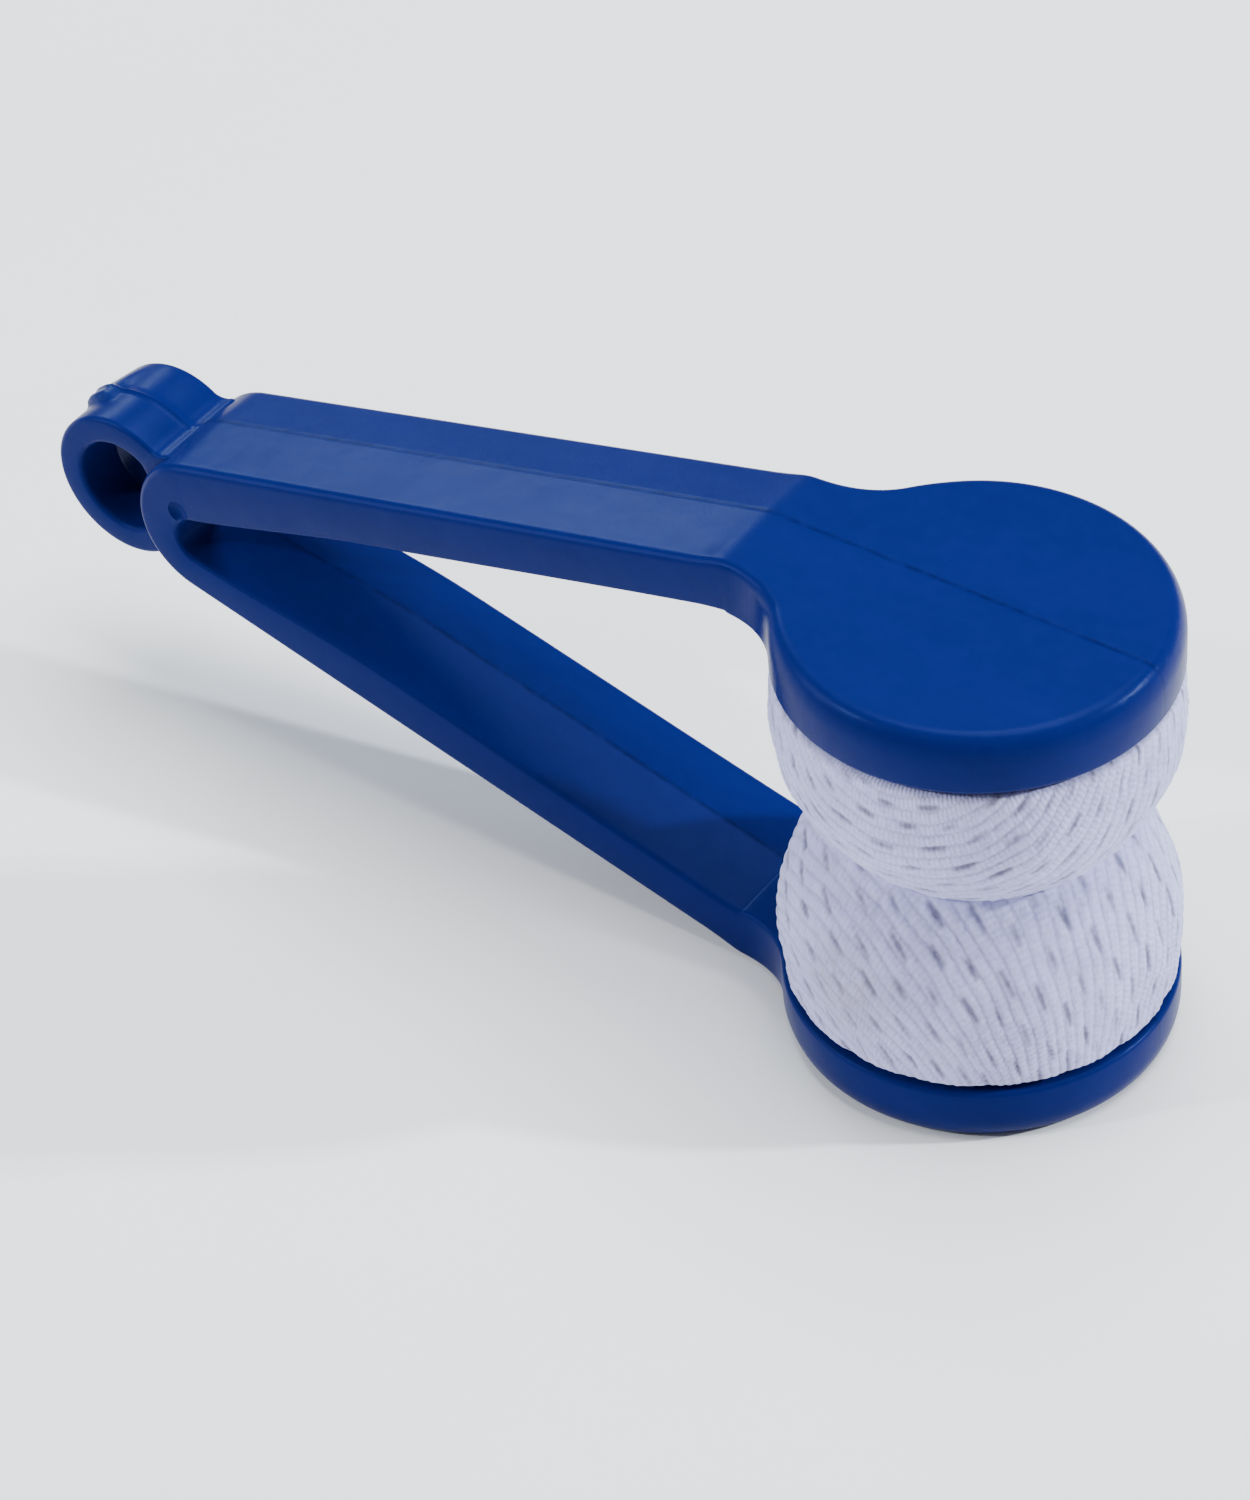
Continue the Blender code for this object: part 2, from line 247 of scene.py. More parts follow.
def heading(stations):
    """Angle that the outer face has turned through, from 0 on one disc to half a turn on the other."""
    near = near_half(stations)
    bend = ARM_ANGLE * smooth_step(near, CREASE_AT - CREASE_BLEND, CREASE_AT + CREASE_BLEND)
    turn = np.clip(near - TURN_AT, 0.0, None) / bow_outer_radius()
    return np.where(stations > APEX_AT, math.pi - bend - turn, bend + turn)


def outer_path():
    """Samples along the outer face: station, x and height above the plane between the pads."""
    stations = np.arange(-PATH_MARGIN, 2 * APEX_AT + PATH_MARGIN, PATH_STEP)
    angle = heading(stations)
    steps = np.diff(stations)
    middle = (angle[1:] + angle[:-1]) / 2
    x = np.concatenate([[0.0], np.cumsum(-np.cos(middle) * steps)])
    height = np.concatenate([[0.0], np.cumsum(-np.sin(middle) * steps)])
    x += PATH_MARGIN - x[0]
    height += MIDDLE - height[0]
    return stations, x, height


PATH = outer_path()


def thickness_at(stations):
    near = near_half(stations)
    along_arm = np.clip((near - CREASE_AT) / (TURN_AT - CREASE_AT), 0.0, 1.0)
    arm = ARM_THICKNESS_AT_HEAD + along_arm * (ARM_THICKNESS_AT_BOW - ARM_THICKNESS_AT_HEAD)
    on_arm = smooth_step(near, CREASE_AT - THICKNESS_BLEND, CREASE_AT + THICKNESS_BLEND)
    extra = ARM_EXTRA * smooth_step(near, CREASE_AT, TURN_AT - ARM_EXTRA_WHOLE)
    return DISC_THICKNESS + on_arm * (arm - DISC_THICKNESS) + extra


def by_bow(stations):
    """1 round the bow, falling to 0 along the arms."""
    return smooth_step(near_half(stations), TURN_AT - SLOT_FADE, TURN_AT + 1.0)


def bend_moulding(points):
    """Maps flat (station, y, depth) points onto the bent moulding, in world millimetres."""
    stations, y, depth = points.T
    angle = heading(stations)
    thickness = thickness_at(stations)
    half = DISC_THICKNESS / 2
    depth = np.where(depth > half, thickness - (DISC_THICKNESS - depth), depth)
    on_outer = 1.0 - smooth_step(depth, 0.0, half)
    on_arm = smooth_step(near_half(stations), *(CREASE_AT + shift for shift in ROOF_BLEND))
    away = np.abs(y - PARTING_Y)
    on_inner = smooth_step(depth, half, thickness) * on_arm
    roof = math.tan(ROOF_ANGLE) * away
    groove = PARTING_DEPTH * np.clip(1.0 - away / PARTING_HALF_WIDTH, 0.0, 1.0)
    depth = depth + (roof * on_arm + groove) * on_outer - roof * on_inner
    end_shift = by_bow(stations) * smooth_step(depth, SLOT_DEPTH_SHARE * half, thickness)
    x = np.interp(stations, PATH[0], PATH[1]) + depth * np.sin(angle) - SLOT_REACH * end_shift
    height = np.interp(stations, PATH[0], PATH[2]) - depth * np.cos(angle)
    return np.column_stack([x, y, MIDDLE - height - SLOT_DROP * end_shift])


def arc_angles(start, end, step_degrees):
    steps = max(2, math.ceil(abs(end - start) / math.radians(step_degrees)))
    return [start + (end - start) * i / steps for i in range(steps + 1)]


def quarter_outline(fullness):
    """Edge points of one side, head tip to apex: station, y and the outward normal's two parts."""
    half = ARM_WIDTH_AT_HEAD / 2 + fullness
    bow_half = ARM_WIDTH_AT_BOW / 2 + fullness
    reach = DISC_RADIUS + NECK_FILLET
    fillet_y = half + NECK_FILLET
    fillet_x = -math.sqrt(reach**2 - fillet_y**2)
    touch = math.atan2(fillet_y, fillet_x)
    points = []
    for angle in arc_angles(0.0, touch, HEAD_STEP):
        c, s = math.cos(angle), math.sin(angle)
        points.append((-DISC_RADIUS * c, DISC_RADIUS * s, -c, s))
    for angle in arc_angles(touch - math.pi, -math.pi / 2, ARC_STEP)[1:]:
        c, s = math.cos(angle), math.sin(angle)
        points.append((-(fillet_x + NECK_FILLET * c), fillet_y + NECK_FILLET * s, c, -s))
    points.append((TURN_AT, bow_half, 0.0, 1.0))
    points.append((APEX_AT, bow_half, 0.0, 1.0))
    return points


def side_outline(fullness):
    quarter = quarter_outline(fullness)
    mirrored = [(2 * APEX_AT - u, y, -nu, ny) for u, y, nu, ny in reversed(quarter[:-1])]
    return quarter + mirrored


def whole_outline():
    near = [(u, -y, nu, -ny) for u, y, nu, ny in reversed(side_outline(NEAR_FULLNESS)[1:-1])]
    return side_outline(FAR_FULLNESS) + near


def edge_profile(station):
    """(inset, depth) from the outer flat, round both edges, to the inner flat."""
    on_arm = float(smooth_step(near_half(np.array(station)), *EDGE_CHANGE))
    edge = HEAD_EDGE + (OUTER_EDGE - HEAD_EDGE) * on_arm
    edge_depth = HEAD_EDGE_DEPTH + (OUTER_EDGE - HEAD_EDGE_DEPTH) * on_arm
    rings = [(edge + EDGE_HOLD, 0.0)]
    for step in range(OUTER_EDGE_STEPS + 1):
        turn = math.pi / 2 * step / OUTER_EDGE_STEPS
        rings.append((edge * (1 - math.sin(turn)), edge_depth * (1 - math.cos(turn))))
    for step in range(INNER_EDGE_STEPS + 1):
        turn = math.pi / 2 * step / INNER_EDGE_STEPS
        lift = INNER_EDGE * (1 - math.sin(turn))
        rings.append((INNER_EDGE * (1 - math.cos(turn)), DISC_THICKNESS - lift))
    rings.append((INNER_EDGE + EDGE_HOLD, DISC_THICKNESS))
    return rings


def close_tube(shape, rings):
    """Joins rings of points into a tube with a flat face at each end."""
    count = len(rings[0])
    for first, second in zip(rings, rings[1:]):
        for i in range(count):
            j = (i + 1) % count
            shape.faces.new((first[i], first[j], second[j], second[i]))
    shape.faces.new(rings[0])
    shape.faces.new(list(reversed(rings[-1])))


def flat_slab():
    """The whole moulding unbent: one closed mesh in (station, y, depth)."""
    slab = bmesh.new()
    outline = whole_outline()
    profiles = [edge_profile(u) for u, _, _, _ in outline]
    rings = []
    for level in range(len(profiles[0])):
        ring = []
        for (u, y, nu, ny), profile in zip(outline, profiles):
            inset, depth = profile[level]
            ring.append(slab.verts.new((u - inset * nu, y - inset * ny, depth)))
        rings.append(ring)
    close_tube(slab, rings)
    return slab


def all_geometry(shape):
    return shape.verts[:] + shape.edges[:] + shape.faces[:]


def cut_off(shape, station, normal_sign):
    """Removes what lies beyond a station and closes the cut with a flat face."""
    place, normal = (station, 0.0, 0.0), (normal_sign, 0.0, 0.0)
    settings = {"dist": 1e-6, "plane_co": place, "plane_no": normal, "clear_outer": True}
    made = bmesh.ops.bisect_plane(shape, geom=all_geometry(shape), **settings)
    rim = [item for item in made["geom_cut"] if isinstance(item, bmesh.types.BMEdge)]
    bmesh.ops.contextual_create(shape, geom=rim)


def slice_rows(shape, start, end):
    """Adds cross rows, fine at the creases and round the bow, and long rows by the parting line."""
    rows = list(np.arange(math.ceil(start), end - 0.2, ROW_STEP))
    for crease in (CREASE_AT, 2 * APEX_AT - CREASE_AT):
        rows += list(crease + np.arange(ROOF_BLEND[0], ROOF_BLEND[1] + 0.1, CREASE_ROW_STEP))
    rows += list(np.arange(TURN_AT, 2 * APEX_AT - TURN_AT, BOW_ROW_STEP))
    rows = sorted(set(round(float(row), 3) for row in rows))
    rows = [row for row in rows if start + ROW_MARGIN < row < end - ROW_MARGIN]
    beside = PARTING_HALF_WIDTH + PARTING_HOLD
    shifts = (-beside, -PARTING_HALF_WIDTH, 0.0, PARTING_HALF_WIDTH, beside)
    planes = [((row, 0.0, 0.0), (1.0, 0.0, 0.0)) for row in rows]
    planes += [((0.0, PARTING_Y + shift, 0.0), (0.0, 1.0, 0.0)) for shift in shifts]
    for place, normal in planes:
        geometry = all_geometry(shape)
        bmesh.ops.bisect_plane(shape, geom=geometry, dist=1e-5, plane_co=place, plane_no=normal)


def linked_object(name, data):
    obj = bpy.data.objects.new(name, data)
    bpy.context.scene.collection.objects.link(obj)
    return obj


def smooth_mesh(mesh, sharp_angle):
    mesh.shade_smooth()
    mesh.set_sharp_from_angle(angle=math.radians(sharp_angle))


def mesh_object(name, shape, sharp_angle=SHARP_ANGLE):
    """An object from a bmesh, smooth except at its sharp edges."""
    bmesh.ops.recalc_face_normals(shape, faces=shape.faces)
    mesh = bpy.data.meshes.new(name)
    shape.to_mesh(mesh)
    shape.free()
    smooth_mesh(mesh, sharp_angle)
    return linked_object(name, mesh)


def moulding_piece(name, slab, start, end):
    """The length of the moulding between two stations, bent into place."""
    shape = slab.copy()
    low, high = -DISC_RADIUS, 2 * APEX_AT + DISC_RADIUS
    if end < high:
        cut_off(shape, end, 1.0)
    if start > low:
        cut_off(shape, start, -1.0)
    slice_rows(shape, start, end)
    flat = np.array([vert.co for vert in shape.verts], float)
    for vert, place in zip(shape.verts, bend_moulding(flat) * MM):
        vert.co = place
    return mesh_object(name, shape)


def apply_boolean(obj, cutter):
    """Cuts the cutter from obj and removes it."""
    modifier = obj.modifiers.new("cut", "BOOLEAN")
    modifier.operation = "DIFFERENCE"
    modifier.solver = "EXACT"
    modifier.object = cutter
    graph = bpy.context.evaluated_depsgraph_get()
    cut = bpy.data.meshes.new_from_object(obj.evaluated_get(graph))
    obj.modifiers.clear()
    obj.data = cut
    bpy.data.objects.remove(cutter, do_unlink=True)
    smooth_mesh(cut, SHARP_ANGLE)


def drill_dimple(bow):
    """The ejector mark on the near side of the bow: a shallow spherical dimple."""
    sphere = (DIMPLE_RADIUS**2 + DIMPLE_DEPTH**2) / (2 * DIMPLE_DEPTH)
    shape = bmesh.new()
    bmesh.ops.create_uvsphere(shape, u_segments=48, v_segments=24, radius=sphere * MM)
    y = -ARM_WIDTH_AT_BOW / 2 - sphere + DIMPLE_DEPTH
    centre = Vector((DIMPLE_X, y, MIDDLE + DIMPLE_ABOVE_MIDDLE)) * MM
    bmesh.ops.translate(shape, vec=centre, verts=shape.verts)
    apply_boolean(bow, mesh_object("dimple_cutter", shape))


def fillet_reach(angle, ring_radius, fillet, inside):
    """Radius of the loop's face at an angle from its centre, flared into the bow by a fillet."""
    bow_radius = bow_outer_radius()
    apart = BOW_CENTRE_X - LOOP_CENTRE_X
    to_fillet = ring_radius - fillet if inside else ring_radius + fillet
    to_bow = bow_radius + fillet
    cosine = (apart**2 + to_fillet**2 - to_bow**2) / (2 * apart * to_fillet)
    start = math.acos(cosine)
    if angle >= start:
        return ring_radius
    centre = Vector((to_fillet * math.cos(start), to_fillet * math.sin(start)))
    bow = Vector((apart, 0.0))
    touch = bow + (centre - bow).normalized() * bow_radius
    last = math.atan2(touch.y, touch.x)
    if angle <= last:
        return touch.length
    turn = angle - start
    root = math.sqrt(max(0.0, fillet**2 - (to_fillet * math.sin(turn)) ** 2))
    return to_fillet * math.cos(turn) + (root if inside else -root)


def gate_rise(angle, y):
    """Height of the gate stub: a step on its near side, falling away to the loop's far face."""
    level_angle = GATE_LEVEL_SHARE * GATE_HALF_ANGLE
    on_gate = 1.0 - smooth_step(abs(angle - GATE_ANGLE), level_angle, GATE_HALF_ANGLE)
    step = smooth_step(y, GATE_NEAR_Y - GATE_STEP, GATE_NEAR_Y + GATE_STEP)
    fall = np.clip((GATE_FAR_Y - y) / (GATE_FAR_Y - GATE_NEAR_Y), 0.0, 1.0)
    return float(GATE_HEIGHT * on_gate * step * fall)


def loop_section(angle):
    """(radius, y) points round the loop's cross-section at an angle, with its parting ridge."""
    folded = min(angle, 2 * math.pi - angle)
    outer = fillet_reach(folded, LOOP_RADIUS, LOOP_OUTER_FILLET, inside=False)
    inner = fillet_reach(folded, LOOP_HOLE_RADIUS, LOOP_INNER_FILLET, inside=True)
    flare = LOOP_FLARE * float(1.0 - smooth_step(math.degrees(folded), *LOOP_FLARE_ANGLES))
    near = -LOOP_WIDTH / 2 - flare
    far = LOOP_WIDTH / 2 + LOOP_FAR_FULLNESS + flare
    points = []
    corners = (
        (outer - LOOP_EDGE, far - LOOP_EDGE, 90.0),
        (inner + LOOP_EDGE, far - LOOP_EDGE, 180.0),
        (inner + LOOP_EDGE, near + LOOP_EDGE, 270.0),
        (outer - LOOP_EDGE, near + LOOP_EDGE, 360.0),
    )
    for radius, y, end in corners:
        for step in range(6):
            turn = math.radians(end - 90.0 + 18.0 * step)
            points.append((radius + LOOP_EDGE * math.cos(turn), y + LOOP_EDGE * math.sin(turn)))
        if end == 180.0:
            for across, rise in ((1.0, 0.0), (0.0, 0.5), (-1.0, 0.0)):
                y = LOOP_SEAM_Y + across * LOOP_HOLE_SEAM_HALF_WIDTH
                points.append((inner - rise * LOOP_SEAM_HEIGHT, y))
    for shift in GATE_ROWS:
        points.append((outer, GATE_NEAR_Y + shift))
    for across, rise in ((-1.0, 0.0), (0.0, 1.0), (1.0, 0.0)):
        y = LOOP_SEAM_Y + across * LOOP_SEAM_HALF_WIDTH
        points.append((outer + rise * LOOP_SEAM_HEIGHT, y))
    for y in LOOP_FAR_ROWS:
        points.append((outer, y))
    raised = []
    for radius, y in points:
        outside_share = float(smooth_step(radius, outer - 2 * LOOP_EDGE, outer))
        raised.append((radius + gate_rise(angle, y) * outside_share, y))
    return raised


def key_loop():
    """The ring for a key ring, swept round its hole with both ends sunk in the bow's wall."""
    shape = bmesh.new()
    rings = []
    fine = arc_angles(LOOP_END, LOOP_FINE, LOOP_FINE_STEP)
    coarse = arc_angles(LOOP_FINE, 2 * math.pi - LOOP_FINE, ARC_STEP)[1:-1]
    other = [2 * math.pi - angle for angle in reversed(fine)]
    for angle in fine + coarse + other:
        ring = []
        for radius, y in loop_section(angle):
            x = LOOP_CENTRE_X + radius * math.cos(angle)
            z = MIDDLE + radius * math.sin(angle)
            ring.append(shape.verts.new(Vector((x, y, z)) * MM))
        rings.append(ring)
    close_tube(shape, rings)
    return mesh_object("loop_skin", shape, LOOP_SHARP_ANGLE)


def build_moulding():
    slab = flat_slab()
    squeeze_at = pivot_station(SQUEEZE_PIVOT_X)
    open_at = pivot_station(OPEN_PIVOT_X)
    leg_start = (squeeze_at + open_at) / 2
    leg_end = open_at + LEG_END
    end = 2 * APEX_AT
    cuts = (-DISC_RADIUS, leg_start, leg_end, end - leg_end, end - leg_start, end + DISC_RADIUS)
    names = ("lower_arm_skin", "lower_leg_skin", "bow_skin", "upper_leg_skin", "upper_arm_skin")
    skins = {}
    for name, low, high in zip(names, cuts, cuts[1:]):
        skins[name] = moulding_piece(name, slab, low, high)
    slab.free()
    drill_dimple(skins["bow_skin"])
    skins["loop_skin"] = key_loop()
    return skins


def hang_moulding(skins):
    """Bakes the arm and leg skins into place and hides their CAD parts; the bow and loop skins go on
    the bow's body.
    """
    for side, half in ((-1, "lower"), (1, "upper")):
        arm, leg = skins[half + "_arm_skin"], skins[half + "_leg_skin"]
        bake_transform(arm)
        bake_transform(leg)
        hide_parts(half + "_arm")
        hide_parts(half + "_leg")
    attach(skins["bow_skin"], "bow")
    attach(skins["loop_skin"], "bow")
    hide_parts("spring_bow")
    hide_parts("key_loop")


# ===== Pads =====

BLOWN_COLUMNS = 144
BLOWN_ROWS = 30
BLOWN_SCALE = 20.0  # the cloth solver is steadier on a mesh of about half a metre
BLOWN_INSET = 0.8  # the cloth starts this much inside its final shape
BLOWN_FRAMES = 24
BLOWN_PRESSURE = 12.0
BLOWN_SLACK = 0.10
BLOWN_LIMIT = 0.35
BLOWN_LUMPS = 0.06
SWELL_GAIN = 1.3  # the cloth's unevenness, raised on the side and nearly lost by the base
SWELL_GAIN_AT_BASE = 0.25
SWELL_FADE = (0.70, 0.92)  # as shares of the way from crease to base
CREASE_LIFT = 0.55  # the lower pad is the fuller one, so they meet above the middle plane
DOME_DEPTH = 7.3  # from the crease to where the side stands upright
DOME_POWER = {"lower": 1.75, "upper": 2.15}
BASE_FALL = 3.4  # the height over which the side then falls back to the base
PAD_CLOTH = {
    # The turn of the wales, one dash's place along and across them, and how far the dashes fan out
    "lower": {"turn": math.radians(-27.0), "along": 15.58, "across": -4.8, "fan": 0.35},
    "upper": {"turn": math.radians(9.0), "along": 6.93, "across": -15.17, "fan": 0.0},
}


def round_angles(count):
    return np.arange(count) * 2 * math.pi / count


def round_points(radius, azimuth, height):
    """Points, along the last axis, from their distance and direction from the Z axis."""
    return np.stack([radius * np.cos(azimuth), radius * np.sin(azimuth), height], axis=-1)


def grid_index(rows, columns):
    """The numbers of a grid's points, and those of their neighbours one column round."""
    index = np.arange(rows * columns).reshape(rows, columns)
    return index, np.roll(index, -1, axis=1)


def side_radius(half, depth):
    """The pad's radius at a depth below the crease."""
    left = np.clip(1.0 - depth / DOME_DEPTH, 0.0, 1.0)
    dome = BULGE_RADIUS - (BULGE_RADIUS - CONTACT_RADIUS) * left ** DOME_POWER[half]
    fall = np.clip((depth - DOME_DEPTH) / BASE_FALL, 0.0, 1.0)
    return dome + (BASE_RADIUS - BULGE_RADIUS) * fall**2


def blown_start(half, height):
    """The cloth before it is blown up: a slightly lumpy sleeve from crease to base."""
    share = np.linspace(0.0, 1.0, BLOWN_ROWS)[:, None]
    azimuth = round_angles(BLOWN_COLUMNS)
    depth = height * share + 0.0 * azimuth
    lumps = np.sin(azimuth * 7 + 6 * share) + np.sin(azimuth * 17 - 5 * share + 1)
    slack = np.sin(math.pi * share)
    return side_radius(half, depth) + (BLOWN_LUMPS * lumps - BLOWN_INSET) * slack, depth, azimuth


def blow_up(name, place):
    """Runs Blender's Cloth with pressure on a sleeve held at both rims, and returns its points."""
    index, right = grid_index(*place.shape[:2])
    quads = np.stack([index[:-1], right[:-1], right[1:], index[1:]], axis=2).reshape(-1, 4)
    mesh = bpy.data.meshes.new(name)
    mesh.from_pydata((place.reshape(-1, 3) * MM * BLOWN_SCALE).tolist(), [], quads.tolist())
    cloth = linked_object(name, mesh)
    held = cloth.vertex_groups.new(name="held")
    held.add(index[0].tolist() + index[-1].tolist(), 1.0, "REPLACE")
    modifier = cloth.modifiers.new("cloth", "CLOTH")
    settings = modifier.settings
    settings.quality = 6
    settings.vertex_group_mass = "held"
    settings.use_pressure = True
    settings.uniform_pressure_force = BLOWN_PRESSURE
    settings.shrink_min = -BLOWN_SLACK
    settings.bending_stiffness = 0.05
    settings.effector_weights.gravity = 0.0
    modifier.collision_settings.use_collision = False
    for number in range(1, BLOWN_FRAMES + 1):
        bpy.context.scene.frame_set(number)
    graph = bpy.context.evaluated_depsgraph_get()
    blown = cloth.evaluated_get(graph).data
    points = np.empty(len(blown.vertices) * 3)
    blown.vertices.foreach_get("co", points)
    bpy.data.objects.remove(cloth, do_unlink=True)
    bpy.context.scene.frame_set(1)
    return points.reshape(place.shape) / (MM * BLOWN_SCALE)


def blown_swell(half, height):
    """How far the blown cloth stands out from its own average, by row and column.

    The average of each row is left to side_radius, which holds the pad's measured outline.
    """
    start, depth, azimuth = blown_start(half, height)
    points = blow_up(half + "_sleeve", round_points(start, azimuth, depth))
    swell = np.hypot(points[:, :, 0], points[:, :, 1]) - start
    uneven = swell - swell.mean(axis=1, keepdims=True)
    loss = (SWELL_GAIN - SWELL_GAIN_AT_BASE) * smooth_step(depth / height, *SWELL_FADE)
    return np.clip(uneven, -BLOWN_LIMIT, BLOWN_LIMIT) * (SWELL_GAIN - loss)


def read_swell(swell, share, azimuth):
    """The swell along one ring of the pad, between the simulated rows and columns."""
    row = np.clip(share, 0.0, 1.0) * (BLOWN_ROWS - 1)
    above = min(int(row), BLOWN_ROWS - 2)
    ring = swell[above] + (row - above) * (swell[above + 1] - swell[above])
    angles = np.arange(BLOWN_COLUMNS + 1) * 2 * math.pi / BLOWN_COLUMNS
    return np.interp(azimuth, angles, np.append(ring, ring[0]))


def scatter(first, second):
    """A repeatable random share for a pair of whole numbers."""
    value = np.sin(first * 12.9898 + second * 78.233) * 43758.5453
    return value - np.floor(value)


def dash_gaps(along, across, cloth):
    """How far each point lies in one of the short gaps between the yarns, from 0 to 1; the material
    paints their shade from it.
    """
    gap = np.zeros_like(along)
    base = np.floor((along - cloth["along"]) / DASH_ROW)
    for extra in (0.0, 1.0):
        row = base + extra
        column = np.round((across - cloth["across"]) / DASH_SPAN - row / 2)
        shift = scatter(row, column) - 0.5
        centre_along = cloth["along"] + row * DASH_ROW + DASH_JITTER_ALONG * shift
        centre_across = cloth["across"] + (column + row / 2) * DASH_SPAN
        centre_across = centre_across + DASH_JITTER_ACROSS * (scatter(column, row) - 0.5)
        lean = np.arctan2(centre_across, centre_along) - FAN_AXIS
        lean = cloth["fan"] * lean + DASH_JITTER_LEAN * shift
        forward = (along - centre_along) * np.cos(lean) + (across - centre_across) * np.sin(lean)
        sideways = (across - centre_across) * np.cos(lean) - (along - centre_along) * np.sin(lean)
        length = DASH_HALF_LENGTH * (0.75 + 0.4 * scatter(row + 3, column))
        strength = 0.5 + 0.5 * scatter(row, column + 5)
        shape = np.exp(-((forward / length) ** 4)) * np.exp(-((sideways / DASH_HALF_WIDTH) ** 2))
        shape = shape * (0.85 + 0.15 * np.cos(2 * math.pi * forward / COURSE))
        gap = np.maximum(gap, strength * shape)
    return gap


def cloth_relief(along, across, cloth):
    """Height of the knitted surface, its count of wales and how far it lies in a gap."""
    wander = 0.05 * np.sin(along * 1.3 + 0.7 * across) + 0.08 * np.sin(along * 0.47 - across * 0.9)
    wale = (across + wander) / WALE
    lane = np.floor(wale)
    cord = np.sqrt(np.clip(1.0 - (2 * (wale - lane) - 1) ** 2, 0.0, 1.0))
    stitch = along / COURSE + 0.5 * np.mod(lane, 2) + 0.3 * scatter(lane, lane + 1)
    loops = 0.5 + 0.5 * np.cos(2 * math.pi * stitch)
    uneven = 0.8 + 0.4 * scatter(lane, np.floor(stitch))
    lumps = np.sin(along * 0.9 + 1.7) * np.sin(across * 1.1 - 0.4)
    gap = dash_gaps(along, across, cloth)
    height = CORD_HEIGHT * (cord - 0.8) + LOOP_HEIGHT * loops * cord * uneven
    return height + LUMP_HEIGHT * lumps - DASH_DEPTH * gap, wale, gap


def pad_surface(half, azimuth):
    """Rows of (radius, height) from the contact face's centre, down the side and round the inside.

    Returns radius and height arrays, one row each, and the first and last row of the visible side.
    """
    side = -1.0 if half == "lower" else 1.0
    crease = MIDDLE + CREASE_LIFT
    radii, heights = [], []

    def add(radius, height):
        radii.append(np.broadcast_to(radius, azimuth.shape).astype(float))
        heights.append(np.broadcast_to(height, azimuth.shape).astype(float))

    def level(value):
        """A height given for the lower pad, turned over for the upper one."""
        return MIDDLE + side * (MIDDLE - value)

    base = level(PAD_BASE)
    for radius in CONTACT_ROWS:
        add(radius, crease + side * CONTACT_GAP)
    first = len(radii)
    height = abs(base - crease)
    swell = blown_swell(half, height)
    depths = np.linspace(0.0, height - BASE_ROUNDING, 4000)
    profile = side_radius(half, depths)
    length = np.concatenate([[0], np.cumsum(np.hypot(np.diff(depths), np.diff(profile)))])
    for row in range(SIDE_ROWS):
        depth = np.interp(length[-1] * row / (SIDE_ROWS - 1), length, depths)
        bulge = read_swell(swell, depth / height, azimuth)
        add(np.interp(depth, depths, profile) + bulge, crease + side * depth)
    last = len(radii) - 1
    edge_radius = radii[-1]
    edge_height = heights[-1]
    for step in range(1, BASE_ROWS + 1):
        turn = math.pi / 2 * step / BASE_ROWS
        add(
            edge_radius - BASE_ROUNDING * (1 - math.cos(turn)),
            edge_height + (base - edge_height) * math.sin(turn),
        )
    inside = (
        (10.0, PAD_BASE),
        (SKIRT_RADIUS, PAD_BASE),
        (SKIRT_RADIUS, LIP_BOTTOM),
        (LIP_HOLE_RADIUS, LIP_BOTTOM),
        (LIP_HOLE_RADIUS, LIP_TOP),
        (WALL_RADIUS, LIP_TOP),
        (WALL_RADIUS, CEILING - SHOULDER_DROP),
        (WALL_RADIUS - SHOULDER_INSET, CEILING - CEILING_DROP),
        (4.0, CEILING - CEILING_DROP),
        (TIP_RADIUS, CEILING - CEILING_DROP),
    )
    for radius, value in inside:
        add(radius, level(value))
    return np.array(radii), np.array(heights), first, last


def row_normals(points):
    """Unit normals of a grid of points, rows by columns, columns going round."""
    down = np.gradient(points, axis=0)
    round_ = np.roll(points, -1, axis=1) - np.roll(points, 1, axis=1)
    normal = np.cross(round_, down)
    return normal / np.maximum(np.linalg.norm(normal, axis=2, keepdims=True), 1e-12)


def pad_cover(half):
    """The cloth cover of one pad, its knit raised in the mesh, as one closed surface."""
    cloth = PAD_CLOTH[half]
    azimuth = round_angles(PAD_COLUMNS)
    radii, heights, first, last = pad_surface(half, azimuth)
    place = round_points(radii, azimuth, heights)
    steps = np.linalg.norm(np.diff(place, axis=0), axis=2)
    run = np.concatenate([np.zeros((1, PAD_COLUMNS)), np.cumsum(steps, axis=0)])
    reach = np.minimum(run, run[last + BASE_ROWS])
    along = reach * np.cos(azimuth - cloth["turn"])
    across = reach * np.sin(azimuth - cloth["turn"])
    height, wale, gap = cloth_relief(along, across, cloth)
    rows = np.arange(len(radii))[:, None]
    fade = smooth_step(rows, first - 0.5, first + 4) * (1.0 - smooth_step(rows, last + 1, last + 4))
    normal = row_normals(place)
    outward = normal[:, :, 0] * np.cos(azimuth) + normal[:, :, 1] * np.sin(azimuth)
    if outward[(first + last) // 2].mean() < 0:
        normal = -normal
    place = place + normal * (height * fade)[:, :, None]
    name = half + "_cover_skin"
    mesh = grid_mesh(name, place * MM)
    store_cloth(mesh, along, wale, gap)
    return linked_object(name, mesh)


